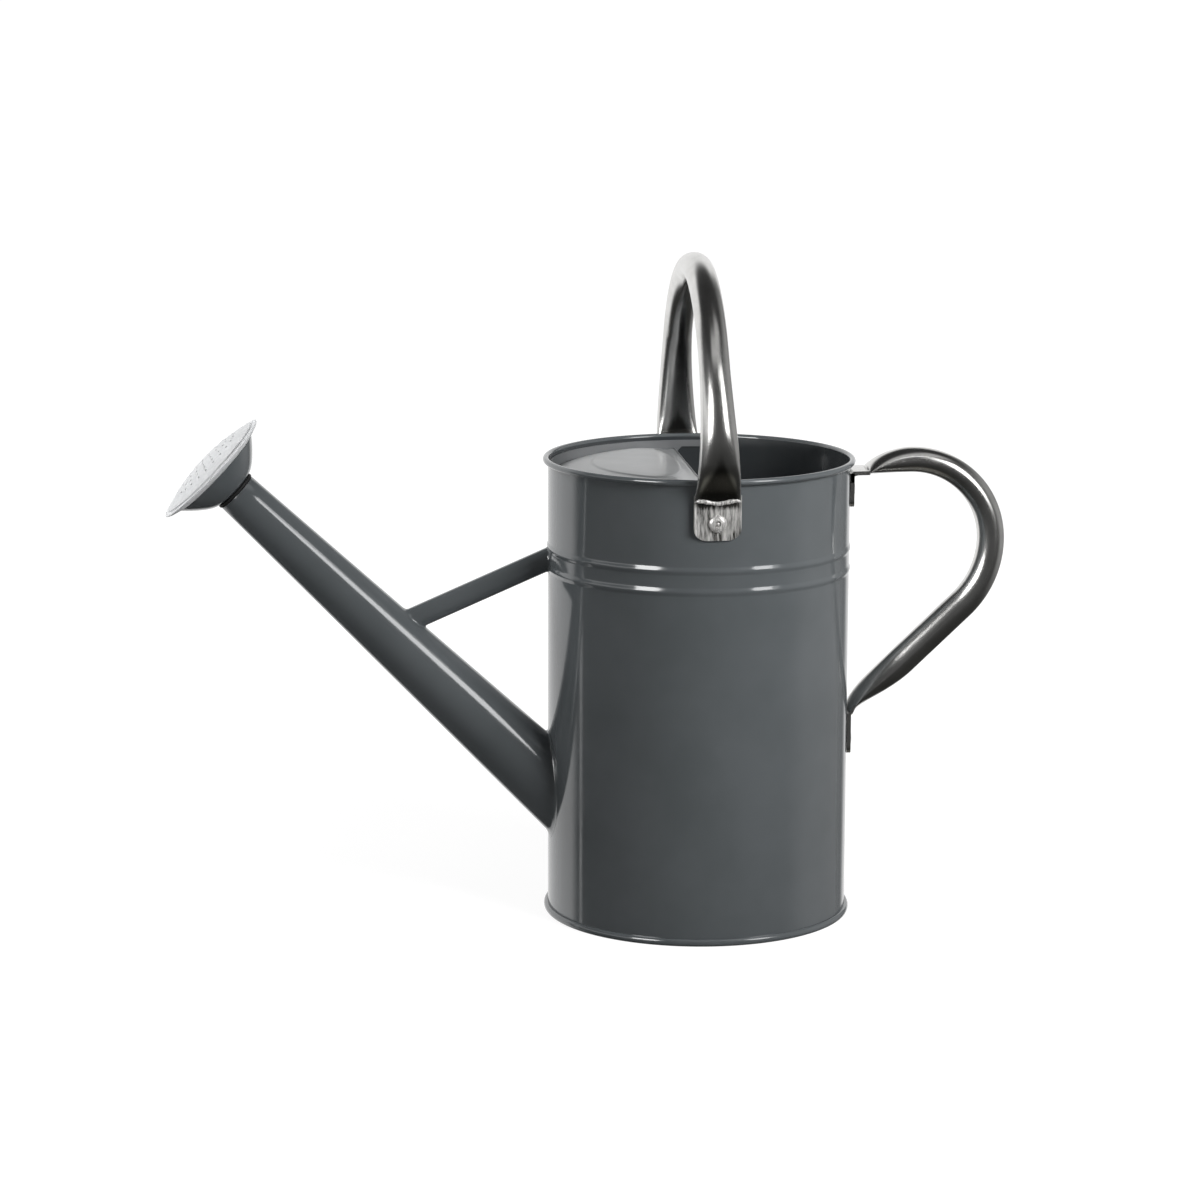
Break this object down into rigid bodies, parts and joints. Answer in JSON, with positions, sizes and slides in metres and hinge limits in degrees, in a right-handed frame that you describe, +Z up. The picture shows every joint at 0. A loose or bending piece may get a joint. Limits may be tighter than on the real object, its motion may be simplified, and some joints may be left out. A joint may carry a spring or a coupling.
{
  "type": "watering can",
  "caption": "Cylindrical sheet-steel watering can with a half lid, a braced sloping spout with a turning, removable rose, a tube bail over the top and a tube handle behind.",
  "frame": {"origin": "on the ground, midway between the rose and the rear handle and on the can's plane of symmetry", "axes": "-X towards the spout and rose, +X towards the rear handle, +Z up, Y across the can"},
  "size_m": [0.4462, 0.186, 0.3535],
  "materials": {
    "slate_paint": "gloss slate-grey enamel",
    "polished_steel": "polished stainless steel",
    "zinc_steel": "satin galvanised",
    "black_rubber": "matt"
  },
  "bodies": {
    "can": {"body_shell": "slate_paint", "rim_wire": "zinc_steel", "base_plate": "slate_paint", "top_cover": "slate_paint", "spout_tube": "slate_paint", "brace_tube": "slate_paint", "bail_handle": "polished_steel", "bail_rivet_near": "polished_steel", "bail_rivet_far": "polished_steel", "bail_washer_near": "zinc_steel", "bail_washer_far": "zinc_steel", "rear_handle": "polished_steel", "handle_rivet_upper": "polished_steel", "handle_rivet_lower": "polished_steel", "handle_washer_upper": "zinc_steel", "handle_washer_lower": "zinc_steel"},
    "seal": {"rose_seal": "black_rubber"},
    "rose": {"rose_neck": "zinc_steel", "rose_bowl": "slate_paint", "rose_face": "zinc_steel"}
  },
  "joints": [
    {"name": "rose_pull", "type": "slide", "parent": "can", "child": "seal", "axis": [-0.7181, 0, 0.6959], "range_m": [0, 0.03]},
    {"name": "rose_turn", "type": "hinge", "parent": "seal", "child": "rose", "pos_m": [-0.02186, 0, 0.0712], "axis": [-0.7181, 0, 0.6959], "continuous": true}
  ]
}
